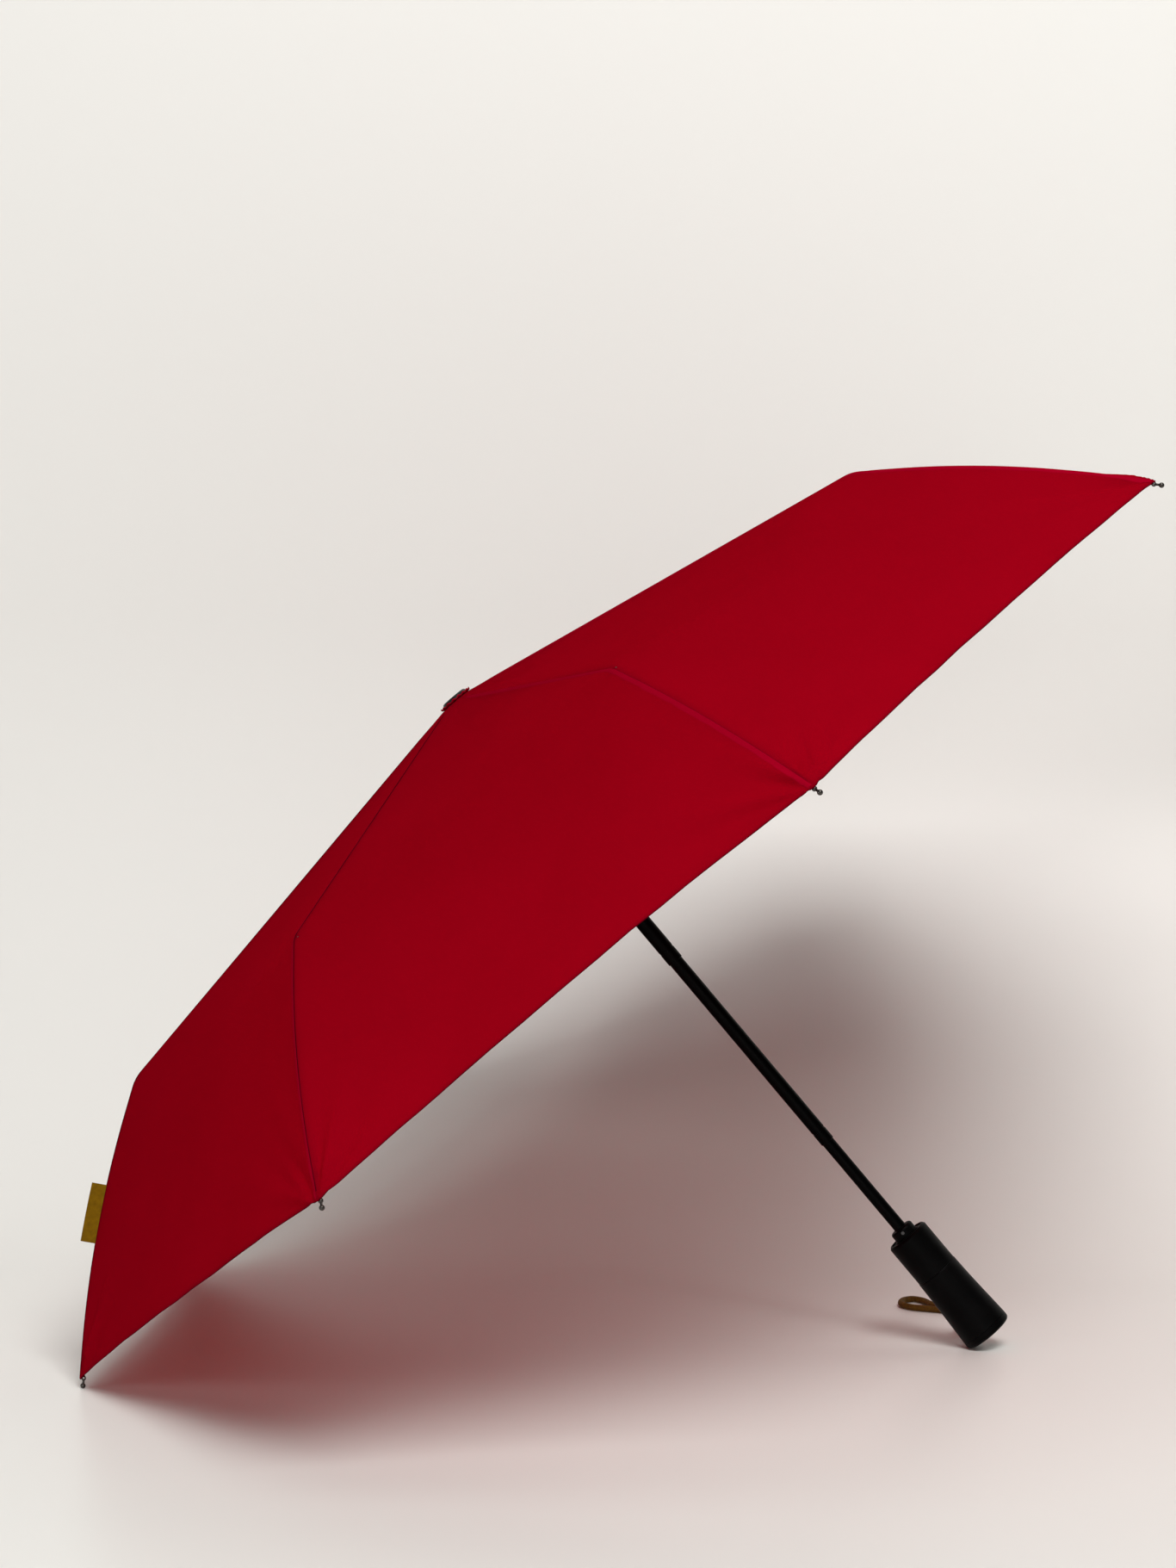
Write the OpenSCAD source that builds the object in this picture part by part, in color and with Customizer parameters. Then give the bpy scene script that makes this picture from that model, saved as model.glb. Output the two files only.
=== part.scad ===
// Three-section folding umbrella, shown open and lying on two rib tips and
// the edge of its handle. Millimetres, +Z up, floor at z = 0.
// Everything but the wrist loop is drawn upright around the shaft axis, with
// z = 0 on top of the crown cap, and then laid down by place().

/* [Canopy] */
// Radius of the circle through the rib tips
tip_r = 490; // [470:1:510]
// Height of the crown cap above the rib tips, along the shaft
tip_drop = 193; // [185:1:200]
// Radius of the circle through the rib elbows
elbow_r = 334.8; // [328:0.2:342]
// Height of the crown cap above the elbows, along the shaft
elbow_drop = 61; // [57:1:65]
// Thickness of the cloth shell
cloth_t = 0.4; // [0.3:0.1:0.6]
// How far the hem curves in at the middle of a gore
hem_in = 11; // [6:1:18]

/* [Ribs] */
// Length of the crown rib between its pivots
crown_rib_len = 172; // [168:1:176]
// Place of the stretcher rivet along the crown rib
stretcher_at = 80; // [76:1:84]
// Length of the stretcher between its pivots
stretcher_len = 118; // [115:1:121]
// Height of the rib and stretcher bars
bar_h = 3; // [2.6:0.1:3.2]
// Radius of the outer rib's rod
rod_r = 1.1; // [0.9:0.1:1.2]
// Angle between an end of the bowed outer rib and its chord
outer_bend = 5.8; // [0.5:0.1:7]
// Radius of the ball on a rib tip
tip_ball_r = 1.75; // [1.6:0.05:1.9]

/* [Shaft] */
// Outer radius of the top tube, which the runner slides on
top_tube_r = 5.6; // [5.5:0.05:5.65]
// Distance from the crown cap to the lower end of the top tube
top_tube_end = 236.7; // [235:0.1:240]
// Distance from the crown cap to the lower end of the middle tube
middle_tube_end = 398.3; // [396:0.1:400]
// Wall of the tubes
tube_wall = 0.55; // [0.5:0.01:0.56]

/* [Handle] */
// Distance from the crown cap to the top of the handle
handle_top = 482; // [480:0.5:484]
// Radius of the handle's upper housing
housing_r = 15.2; // [15:0.1:15.6]
// Largest radius of the flared grip
grip_r = 17.6; // [17.2:0.1:17.8]
// Radius of the push button
button_r = 4.6; // [4:0.1:4.6]

/* [Hidden] */
$fn = 48;
N = 8;
// folded attitudes of the ribs, in degrees from straight along the shaft
lean_crown = 2.2;
lean_middle = 3.0;
lean_outer = -1.0;

// handle base edge: a circle that the umbrella lies on
edge_c = [15.0, -567.3];
edge_r = grip_r - edge_c[0];
base_z = -571.6;

// lie of the shaft: both low tips and the handle's edge touch the floor
lie_a = -edge_c[1] - tip_drop;
lie_b = tip_r * cos(22.5) - edge_c[0];
tau = atan2(lie_b, lie_a) + asin((tip_ball_r - edge_r) / norm([lie_a, lie_b]));
crown_x = -tip_drop * cos(tau);
crown_z = tip_drop * sin(tau) + tip_r * cos(22.5) * cos(tau) + tip_ball_r;

// rib line in the (radius, height) plane
cloth_off = 2.4;
apex_r = 11;
apex_z = -3.5;
hub_p = [8.5, -7.6];
elbow_top = [elbow_r, -elbow_drop];
tip_p = [tip_r, -tip_drop];
in_dir = (elbow_top - [apex_r, apex_z]) / norm(elbow_top - [apex_r, apex_z]);
out_dir = (tip_p - elbow_top) / norm(tip_p - elbow_top);
in_n = [-in_dir[1], in_dir[0]];
out_n = [-out_dir[1], out_dir[0]];
elbow_n = (in_n + out_n) / (1 + in_n * out_n);
elbow_p = elbow_top - cloth_off * elbow_n;
inner_len = norm(elbow_p - hub_p);
inner_dir = (elbow_p - hub_p) / inner_len;
inner_a = atan2(inner_dir[1], inner_dir[0]);
joint_p = hub_p + crown_rib_len * inner_dir;
middle_rib_len = inner_len - crown_rib_len;
outer_len = norm(tip_p - elbow_p);
outer_a = atan2(tip_p[1] - elbow_p[1], tip_p[0] - elbow_p[0]);
// bow of the outer rib: straight ends and an arc between them
bend_end = 24.5;
bend_x = bend_end * cos(outer_bend);
bend_z = bend_end * sin(outer_bend);
bow_r = (outer_len / 2 - bend_x) / sin(outer_bend);
bow_c = bend_z - bow_r * cos(outer_bend);
bow_h = bow_c + bow_r;
function bow(x) = x < bend_x ? x * tan(outer_bend)
  : x > outer_len - bend_x ? (outer_len - x) * tan(outer_bend)
  : bow_c + sqrt(bow_r * bow_r - pow(x - outer_len / 2, 2));
// stretcher and runner
runner_x = 10.32;
stretch_y = -1.9;
rivet_p = hub_p + stretcher_at * inner_dir;
runner_z = rivet_p[1] - sqrt(stretcher_len * stretcher_len - pow(rivet_p[0] - runner_x, 2));
stretch_a = atan2(rivet_p[1] - runner_z, rivet_p[0] - runner_x);
runner_wire_r = norm([runner_x, stretch_y]);

// sideways layers of the rib pieces, either side of the rib's own plane
core_y = [-1.0, 1.0];
mid_y = [1.3, 2.5];
str_y = [-2.5, -1.3];
eye_r = 1.5;
pin_r = 0.6;
pin_hole = 0.66;

middle_tube_r = top_tube_r - tube_wall - 0.05;
lower_tube_r = middle_tube_r - tube_wall - 0.05;

black = [0.05, 0.05, 0.055];
steel = [0.28, 0.28, 0.29];
red = [0.66, 0.02, 0.10];
ochre = [0.36, 0.26, 0.05];

function rib_phi(i) = 22.5 + 45 * (i - 1);

// lays the upright umbrella down
module place() translate([crown_x, 0, crown_z]) rotate([0, 90 - tau, 180]) children();
// the plane of rib i: x outward, z up the shaft
module rib_plane(i) place() rotate([0, 0, rib_phi(i)]) children();
// a frame with x along a bar that starts at p and rises at angle a
module along(p, a) translate([p[0], 0, p[1]]) rotate([0, -a, 0]) children();
// a cylinder across the rib plane
module across(r, y, x = 0, z = 0)
  translate([x, y[1], z]) rotate([90, 0, 0]) cylinder(r = r, h = y[1] - y[0]);
module slab(x, y, z) translate([x[0], y[0], z[0]]) cube([x[1] - x[0], y[1] - y[0], z[1] - z[0]]);
module ring(r_in, r_out, z) translate([0, 0, z[0]]) difference() {
  cylinder(r = r_out, h = z[1] - z[0]);
  translate([0, 0, -1]) cylinder(r = r_in, h = z[1] - z[0] + 2);
}

// a closed tube swept along points, with a flat face at each end
function unit(v) = v / norm(v);
function path_dir(p, k) = unit(p[min(k + 1, len(p) - 1)] - p[max(k - 1, 0)]);
function side_of(d) = unit(cross(d, abs(d[2]) > 0.9 ? [1, 0, 0] : [0, 0, 1]));
module sweep(p, r, sides) {
  n = len(p);
  pts = [for (k = [0:n - 1]) let (d = path_dir(p, k), u = side_of(d), v = cross(d, u))
    for (j = [0:sides - 1]) p[k] + r * (cos(360 * j / sides) * u + sin(360 * j / sides) * v)];
  faces = concat(
    [for (k = [0:n - 2]) for (j = [0:sides - 1]) let (a = k * sides + j, b = k * sides + (j + 1) % sides)
      [a, a + sides, b + sides, b]],
    [[for (j = [0:sides - 1]) j]],
    [[for (j = [sides - 1:-1:0]) (n - 1) * sides + j]]);
  polyhedron(pts, faces, convexity = 10);
}

// ---------------------------------------------------------------- handle
housing_end = -513.5;
module handle_housing() color(black) place() difference() {
  rotate_extrude() difference() {
    polygon([[8.45, -handle_top], [housing_r - 1.3, -handle_top], [housing_r, -handle_top - 1.6],
      [housing_r, housing_end], [12.6, housing_end], [12.6, -handle_top - 3.2], [8.45, -handle_top - 3.2]]);
    // shallow trough around the collar
    polygon([[9.4, -handle_top + 1], [12.6, -handle_top + 1], [12.6, -handle_top - 0.9], [9.4, -handle_top - 0.9]]);
  }
  translate([0, -9, -500]) rotate([90, 0, 0]) cylinder(r = button_r + 0.1, h = 12);
}
grip_end = -564.2;
module handle_grip() color(black) place() difference() {
  union() {
    rotate_extrude() polygon([[12.6, housing_end - 0.3], [housing_r, housing_end - 0.3], [housing_r + 0.25, housing_end - 0.9],
      [housing_r + 0.75, -532], [housing_r + 1.6, -549], [grip_r - 0.02, grip_end],
      [13, grip_end], [13, -535.5], [8, -535.5], [8, -556], [lower_tube_r + 0.03, -556],
      [lower_tube_r + 0.03, -528], [8, -528], [8, -531.5], [11, -531.5], [11, -510], [12.5, -510]]);
  }
  translate([0, -11, -545]) rotate([90, 0, 0]) cylinder(r = 4.45, h = 10);
}
dome_sag = 1.7;
dome_r = (edge_c[0] * edge_c[0] + dome_sag * dome_sag) / (2 * dome_sag);
module handle_end_cap() color(black) place() rotate_extrude() union() {
  intersection() {
    translate([0, base_z]) square([edge_c[0], -base_z + grip_end - 0.2]);
    translate([0, base_z + dome_r]) circle(r = dome_r, $fn = 180);
  }
  intersection() {
    translate(edge_c) circle(r = edge_r);
    translate([0, -600]) square([40, 600 + edge_c[1] + 0.01]);
  }
  translate([0, edge_c[1]]) square([grip_r, grip_end - 0.2 - edge_c[1]]);
  translate([11.4, grip_end - 0.3]) square([1.5, 5.5]);
  // seat of the main spring, inside the lower tube
  translate([0, grip_end - 0.3]) square([3.6, 11]);
}
collar_top = 475.4;
module handle_collar() color(black) place() difference() {
  rotate_extrude() difference() {
    union() {
      translate([lower_tube_r + 0.03, -handle_top - 8]) square([8.42 - lower_tube_r - 0.03, handle_top + 8 - collar_top - 1.8]);
      translate([lower_tube_r + 0.03, -handle_top]) square([6.6 - lower_tube_r - 0.03, handle_top - collar_top]);
      translate([6.6, -collar_top - 1.8]) circle(r = 1.8);
    }
    translate([-20, -600]) square([20 + lower_tube_r + 0.03, 700]);
  }
  translate([0, 3, -478.4]) rotate([-90, 0, 0]) cylinder(r = 1.15, h = 8);
}
module collar_screw() color(steel) place() translate([0, 0, -478.4]) difference() {
  translate([0, 4.55, 0]) rotate([-90, 0, 0]) cylinder(r = 1.12, h = 3.9);
  translate([-0.25, 7.9, -2]) cube([0.5, 2, 4]);
}
module push_button() color(black) place() translate([0, 0, -500]) rotate([90, 0, 0]) rotate_extrude()
  polygon([[0, 9.8], [5.9, 9.8], [5.9, 10.8], [button_r, 10.8], [button_r, 16.2], [button_r - 0.5, 16.8], [button_r - 1.6, 17.1], [0, 17.2]]);
module strap_anchor() color(black) place() translate([0, 0, -545]) rotate([90, 0, 0]) rotate_extrude()
  polygon([[0, 12.6], [4.4, 12.6], [4.4, 16.9], [5.0, 17.2], [5.0, 17.8], [4.6, 18.2], [0, 18.2]]);

// wrist loop: leaves the anchor, drops to the floor and comes back
loop_pts = [[226.8, 18.3, 29], [226.8, 22, 29], [227.6, 27, 27.2], [228.6, 34, 22.4], [229.6, 42, 16.6],
  [230.4, 51, 10.8], [231, 60, 6.6], [231, 70, 3.8], [230, 80, 2.8], [228.6, 89, 2.5], [225, 97, 2.5],
  [218.6, 103, 2.5], [210, 107, 2.5], [200, 109.6, 2.5], [191, 113, 2.5], [185, 119.5, 2.5], [183.2, 128, 2.5],
  [185.4, 136.4, 2.5], [191.4, 140.6, 2.5], [198, 136.8, 2.5], [202.2, 129.6, 2.5], [205.6, 122, 2.5],
  [209.8, 115.4, 2.5], [215.6, 111, 2.5], [222, 107.2, 2.5], [228.4, 102.6, 2.5], [232.8, 95, 2.5],
  [235.2, 86.5, 2.6], [236.4, 77, 3.2], [236.8, 67.5, 4.9], [236.6, 58.5, 8], [235.8, 50, 12], [234.6, 42, 17],
  [233.6, 34, 22.4], [232.6, 27, 27.2], [231.6, 22, 29], [231.6, 18.3, 29]];
module wrist_loop() color(ochre) sweep(loop_pts, 2.3, 10);

// ----------------------------------------------------------------- shaft
module tube(r, z0, z1, groove) color(black) place() rotate_extrude() difference() {
  polygon([[r - tube_wall, z0], [r, z0], [r, z1 + 0.3], [r - 0.3, z1], [r - tube_wall, z1]]);
  if (groove) translate([r - 0.22, z1 + 9]) square([1, 1.6]);
}
module lower_tube() tube(lower_tube_r, -373, -555.8, false);
module middle_tube() tube(middle_tube_r, -208, -middle_tube_end, true);
module top_tube() tube(top_tube_r, -6.4, -top_tube_end, true);
spring_turns = 44;
spring_seg = 7;
module main_spring() color(steel) place()
  sweep([for (k = [0:spring_turns * spring_seg]) let (t = k / (spring_turns * spring_seg))
    [2.95 * cos(360 * k / spring_seg), 2.95 * sin(360 * k / spring_seg), -18 - t * 535]], 0.4, 5);

// ----------------------------------------------------------------- crown
module crown_hub() color(black) place() difference() {
  translate([0, 0, -11.2]) cylinder(r = 10.2, h = 7);
  translate([0, 0, -12]) cylinder(r = top_tube_r + 0.02, h = 12 - 6.3);
  translate([0, 0, -12]) cylinder(r = 3, h = 12);
  ring(7.7, 11, [hub_p[1] - 0.75, hub_p[1] + 0.75]);
  for (i = [1:N]) rotate([0, 0, rib_phi(i)]) slab([6.6, 11], [-1.3, 1.3], [-12, -5.4]);
}
module crown_wire() color(steel) place() translate([0, 0, hub_p[1]]) rotate_extrude() translate([hub_p[0], 0]) circle(r = 0.5);
module crown_cap() color(black) place() rotate_extrude()
  polygon([[0, 0], [8.4, 0], [9.3, -0.5], [9.75, -1.3], [9.75, -2.3], [9.5, -2.6], [2.9, -2.6], [2.9, -15], [0, -15]]);
module rosette() color(red) place() translate([0, 0, -3.2]) linear_extrude(0.5) difference() {
  union() {
    circle(r = 11.4);
    for (k = [0:15]) rotate(22.5 * k) translate([11.2, 0]) circle(r = 1.5);
  }
  circle(r = 3.1);
}

// cloth: profile over a rib, then straight threads from rib to rib
cloth_end = tip_p - 8 * (tip_p - elbow_p) / outer_len;
function prof(u, off) =
  let (a0 = [4.2, apex_z - off], a1 = [apex_r, apex_z - off],
    e = elbow_top - off * elbow_n,
    t = cloth_end + (cloth_off - off) * out_n)
  u < 1 ? a0 + u * (a1 - a0) : u < 9 ? a1 + (u - 1) / 8 * (e - a1)
    : let (f = (u - 9) / 9) e + f * (t - e) + bow(f * (outer_len - 8)) * out_n;
gore_n = 8;
gore_u = 18;
// the hem curves in between the tips
function hem_u(u, v) = u <= 9 ? u : 9 + (u - 9) * (1 - (hem_in / 195) * 4 * v * (1 - v));
function cloth_pt(j, k, off) =
  let (g = floor(k / gore_n), v = (k % gore_n) / gore_n, p = prof(hem_u(j, v), off),
    a = rib_phi(g + 1), b = a + 45)
  [p[0] * ((1 - v) * cos(a) + v * cos(b)), p[0] * ((1 - v) * sin(a) + v * sin(b)), p[1]];
module canopy() color(red) place() {
  m = N * gore_n;
  pts = concat(
    [for (j = [0:gore_u]) for (k = [0:m - 1]) cloth_pt(j, k, 0)],
    [for (j = [0:gore_u]) for (k = [0:m - 1]) cloth_pt(j, k, cloth_t)]);
  h = (gore_u + 1) * m;
  faces = concat(
    [for (j = [0:gore_u - 1]) for (k = [0:m - 1]) let (a = j * m + k, b = j * m + (k + 1) % m) [a, b, b + m]],
    [for (j = [0:gore_u - 1]) for (k = [0:m - 1]) let (a = j * m + k, b = j * m + (k + 1) % m) [a, b + m, a + m]],
    [for (j = [0:gore_u - 1]) for (k = [0:m - 1]) let (a = h + j * m + k, b = h + j * m + (k + 1) % m) [a, b + m, b]],
    [for (j = [0:gore_u - 1]) for (k = [0:m - 1]) let (a = h + j * m + k, b = h + j * m + (k + 1) % m) [a, a + m, b + m]],
    [for (k = [0:m - 1]) let (a = k, b = (k + 1) % m) [a, h + a, h + b]],
    [for (k = [0:m - 1]) let (a = k, b = (k + 1) % m) [a, h + b, b]],
    [for (k = [0:m - 1]) let (a = gore_u * m + k, b = gore_u * m + (k + 1) % m) [a, b, h + b]],
    [for (k = [0:m - 1]) let (a = gore_u * m + k, b = gore_u * m + (k + 1) % m) [a, h + b, h + a]]);
  polyhedron(pts, faces, convexity = 10);
}
module label_tag() color(ochre) rib_plane(1) along(elbow_p, outer_a)
  slab([72, 111], [-0.25, 0.25], [bow_h + cloth_off + 0.15, bow_h + cloth_off + 10.15]);

// ---------------------------------------------------------------- runner
module runner() color(black) place() translate([0, 0, runner_z]) difference() {
  union() {
    translate([0, 0, -22]) cylinder(r = 7.8, h = 27);
    translate([0, 0, -3.6]) cylinder(r = 12.4, h = 7.2);
    translate([0, 0, -22]) cylinder(r = 9.0, h = 3);
  }
  translate([0, 0, -40]) cylinder(r = top_tube_r + 0.08, h = 80);
  ring(9.6, 13, [-0.75, 0.75]);
  for (i = [1:N]) rotate([0, 0, rib_phi(i)]) slab([8.3, 13], [str_y[0] - 0.3, str_y[1] + 0.3], [-5, 7]);
}
module runner_wire() color(steel) place() translate([0, 0, runner_z]) rotate_extrude() translate([runner_wire_r, 0]) circle(r = 0.5);

// ------------------------------------------------------------------ ribs
bar_z = [1.3 - bar_h, 1.3];
module crown_rib(i) color(black) rib_plane(i) along(hub_p, inner_a) difference() {
  union() {
    across(eye_r, core_y);
    slab([0, 7], core_y, [-1.1, 1.1]);
    slab([6, crown_rib_len - 4], core_y, bar_z);
    slab([crown_rib_len - 5, crown_rib_len], core_y, [-1.2, 1.2]);
    across(eye_r, core_y, crown_rib_len);
    // pivot pin and head for the middle rib
    across(pin_r, [0, 2.8], crown_rib_len);
    across(1.15, [2.65, 3.0], crown_rib_len);
  }
  across(0.72, [-3, 3]);
  // the bar is a channel, open below
  slab([9, crown_rib_len - 7], [-0.55, 0.55], [-4, 0.75]);
}
module stretcher(i) color(black) rib_plane(i) along([runner_x, runner_z], stretch_a) difference() {
  union() {
    across(1.6, str_y);
    slab([0, stretcher_len], str_y, [-bar_h / 2, bar_h / 2]);
    across(1.6, str_y, stretcher_len);
    // rivet, clear of the crown rib's side
    across(pin_r, [-2.6, -1.15], stretcher_len);
    across(1.15, [-2.85, -2.45], stretcher_len);
  }
  across(0.72, [-4, 0]);
}
module middle_rib(i) color(black) rib_plane(i) along(joint_p, inner_a) difference() {
  union() {
    across(eye_r, mid_y);
    slab([0, middle_rib_len], mid_y, bar_z);
    across(1.3, mid_y, middle_rib_len);
    // pivot pin and heads for the outer rib
    across(pin_r, [-1.4, 2.6], middle_rib_len);
    across(1.15, [2.45, 2.8], middle_rib_len);
    across(1.15, [-1.55, -1.2], middle_rib_len);
  }
  across(pin_hole, [1, 3]);
}
module outer_rib(i) color(black) rib_plane(i) along(elbow_p, outer_a) difference() {
  union() {
    across(eye_r, core_y);
    along([0, 0], outer_bend) {
      slab([0, 9], core_y, [-1.1, 1.1]);
      translate([7, 0, 0]) rotate([0, 90, 0]) cylinder(r = 1.25, h = 19);
    }
    translate([outer_len / 2, 0, bow_c]) rotate([90, 0, 0]) rotate([0, 0, 90 - outer_bend])
      rotate_extrude(angle = 2 * outer_bend, $fn = 720) translate([bow_r, 0]) circle(r = rod_r, $fn = 48);
    along([outer_len, 0], -outer_bend)
      translate([-bend_end - 1.5, 0, 0]) rotate([0, 90, 0]) cylinder(r = rod_r - 0.03, h = bend_end - 9.5);
  }
  across(pin_hole, [-3, 3]);
}
module rib_tip(i) color(steel) rib_plane(i) along(elbow_p, outer_a) along([outer_len, 0], -outer_bend) difference() {
  rotate([0, 90, 0]) union() {
    rotate_extrude() difference() {
      polygon([[0, -24], [1.45, -24], [1.6, -23.6], [1.6, -9.4], [1.2, -8.4], [0.8, -7.6], [0.8, 0], [0, 0]]);
      translate([-1, -25]) square([1 + rod_r + 0.02, 25 - 10.9]);
    }
    translate([0, 0, -4.9]) sphere(r = 1.65);
    sphere(r = tip_ball_r);
  }
  // sewing eye
  across(0.6, [-3, 3], -5);
}

handle_housing();
handle_grip();
handle_end_cap();
handle_collar();
collar_screw();
push_button();
strap_anchor();
wrist_loop();
lower_tube();
middle_tube();
top_tube();
main_spring();
crown_hub();
crown_wire();
crown_cap();
rosette();
canopy();
label_tag();
runner();
runner_wire();
crown_rib(1);  // crown_rib_1
crown_rib(2);  // crown_rib_2
crown_rib(3);  // crown_rib_3
crown_rib(4);  // crown_rib_4
crown_rib(5);  // crown_rib_5
crown_rib(6);  // crown_rib_6
crown_rib(7);  // crown_rib_7
crown_rib(8);  // crown_rib_8
stretcher(1);  // stretcher_1
stretcher(2);  // stretcher_2
stretcher(3);  // stretcher_3
stretcher(4);  // stretcher_4
stretcher(5);  // stretcher_5
stretcher(6);  // stretcher_6
stretcher(7);  // stretcher_7
stretcher(8);  // stretcher_8
middle_rib(1);  // middle_rib_1
middle_rib(2);  // middle_rib_2
middle_rib(3);  // middle_rib_3
middle_rib(4);  // middle_rib_4
middle_rib(5);  // middle_rib_5
middle_rib(6);  // middle_rib_6
middle_rib(7);  // middle_rib_7
middle_rib(8);  // middle_rib_8
outer_rib(1);  // outer_rib_1
outer_rib(2);  // outer_rib_2
outer_rib(3);  // outer_rib_3
outer_rib(4);  // outer_rib_4
outer_rib(5);  // outer_rib_5
outer_rib(6);  // outer_rib_6
outer_rib(7);  // outer_rib_7
outer_rib(8);  // outer_rib_8
rib_tip(1);  // rib_tip_1
rib_tip(2);  // rib_tip_2
rib_tip(3);  // rib_tip_3
rib_tip(4);  // rib_tip_4
rib_tip(5);  // rib_tip_5
rib_tip(6);  // rib_tip_6
rib_tip(7);  // rib_tip_7
rib_tip(8);  // rib_tip_8
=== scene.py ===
import math

import bpy
import numpy as np
from mathutils import Matrix, Vector

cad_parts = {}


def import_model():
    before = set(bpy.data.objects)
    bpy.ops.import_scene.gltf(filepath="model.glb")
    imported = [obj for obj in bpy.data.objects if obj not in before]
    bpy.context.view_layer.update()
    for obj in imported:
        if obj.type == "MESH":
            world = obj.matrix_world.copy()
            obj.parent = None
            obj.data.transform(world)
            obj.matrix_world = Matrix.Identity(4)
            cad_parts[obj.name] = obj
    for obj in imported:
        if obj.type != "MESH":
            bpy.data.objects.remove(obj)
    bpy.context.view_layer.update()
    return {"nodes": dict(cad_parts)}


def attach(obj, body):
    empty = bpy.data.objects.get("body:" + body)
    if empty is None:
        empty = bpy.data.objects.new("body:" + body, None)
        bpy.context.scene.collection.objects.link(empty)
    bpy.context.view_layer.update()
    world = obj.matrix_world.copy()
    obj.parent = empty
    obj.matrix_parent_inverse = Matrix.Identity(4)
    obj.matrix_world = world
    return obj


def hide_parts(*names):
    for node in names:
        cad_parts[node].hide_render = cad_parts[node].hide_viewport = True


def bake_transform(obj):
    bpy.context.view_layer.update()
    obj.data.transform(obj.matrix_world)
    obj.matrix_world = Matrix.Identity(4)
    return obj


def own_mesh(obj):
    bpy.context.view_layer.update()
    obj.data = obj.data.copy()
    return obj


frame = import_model()
nodes = frame["nodes"]
scene = bpy.context.scene

# ------------------------------------------------------------------ camera
CAM = np.array([222.047, -2667.896, 604.568]) / 1000
az, el, roll = math.radians(5.4514), math.radians(4.7), math.radians(0.2855)
back = np.array([math.sin(az) * math.cos(el), -math.cos(az) * math.cos(el), math.sin(el)])
right = np.cross(-back, [0, 0, 1.0])
right /= np.linalg.norm(right)
up = np.cross(right, -back)
cam_x = math.cos(roll) * right + math.sin(roll) * up
cam_y = -math.sin(roll) * right + math.cos(roll) * up
cam = bpy.data.objects.new("camera", bpy.data.cameras.new("camera"))
scene.collection.objects.link(cam)
cam.data.sensor_fit = "AUTO"
cam.data.sensor_width = 36.0
cam.data.lens = 90.256
cam.data.clip_start, cam.data.clip_end = 0.05, 60.0
turn = Matrix([[cam_x[k], cam_y[k], back[k]] for k in range(3)])
cam.matrix_world = Matrix.Translation(Vector(CAM)) @ turn.to_4x4()
scene.camera = cam
scene.view_settings.view_transform = "Standard"


# ------------------------------------------------- how the umbrella lies
tip_r, tip_drop, elbow_r, elbow_drop = 490.0, 193.0, 334.8, 61.0
edge_c, edge_r, ball_r = (15.0, -567.3), 2.6, 1.75
C225, S225 = math.cos(math.radians(22.5)), math.sin(math.radians(22.5))
lie_a, lie_b = -edge_c[1] - tip_drop, tip_r * C225 - edge_c[0]
tau = math.atan2(lie_b, lie_a) + math.asin((ball_r - edge_r) / math.hypot(lie_a, lie_b))
st, ct = math.sin(tau), math.cos(tau)
LIE = np.array([[-st, 0, -ct], [0, -1, 0], [-ct, 0, st]])
CROWN = np.array([-tip_drop * ct, 0, tip_drop * st + tip_r * C225 * ct + ball_r])


def world(p):
    """Umbrella millimetres (z up the shaft) to row-frame metres."""
    return (np.asarray(p, float) @ LIE.T + CROWN) / 1000


def wdir(v):
    return np.asarray(v, float) @ LIE.T


# --------------------------------------------------------------- materials
def principled(name, base, rough, metal=0.0, spec=0.5, coat=0.0, coat_rough=0.1, sheen=0.0, sheen_rough=0.4, sheen_tint=None, spec_tint=None):
    m = bpy.data.materials.new(name)
    m.use_nodes = True
    b = m.node_tree.nodes["Principled BSDF"]
    b.inputs["Base Color"].default_value = (*base, 1)
    b.inputs["Roughness"].default_value = rough
    b.inputs["Metallic"].default_value = metal
    b.inputs["Specular IOR Level"].default_value = spec
    b.inputs["Coat Weight"].default_value = coat
    b.inputs["Coat Roughness"].default_value = coat_rough
    b.inputs["Sheen Weight"].default_value = sheen
    b.inputs["Sheen Roughness"].default_value = sheen_rough
    if sheen_tint:
        b.inputs["Sheen Tint"].default_value = (*sheen_tint, 1)
    if spec_tint:
        b.inputs["Specular Tint"].default_value = (*spec_tint, 1)
    m.diffuse_color = (*base, 1)
    return m


def node(m, kind, **sockets):
    n = m.node_tree.nodes.new(kind)
    for k, v in sockets.items():
        n.inputs[k.replace("_", " ")].default_value = v
    return n


def link(m, a, out, b, into):
    m.node_tree.links.new(a.outputs[out], b.inputs[into])


def noise(m, scale, detail=3.0, rough=0.5, squeeze=(1, 1, 1)):
    """Noise in object coordinates (metres)."""
    co = node(m, "ShaderNodeTexCoord")
    mp = node(m, "ShaderNodeMapping", Scale=squeeze)
    n = node(m, "ShaderNodeTexNoise", Scale=scale, Detail=detail, Roughness=rough)
    link(m, co, "Object", mp, "Vector")
    link(m, mp, "Vector", n, "Vector")
    return n


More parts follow.
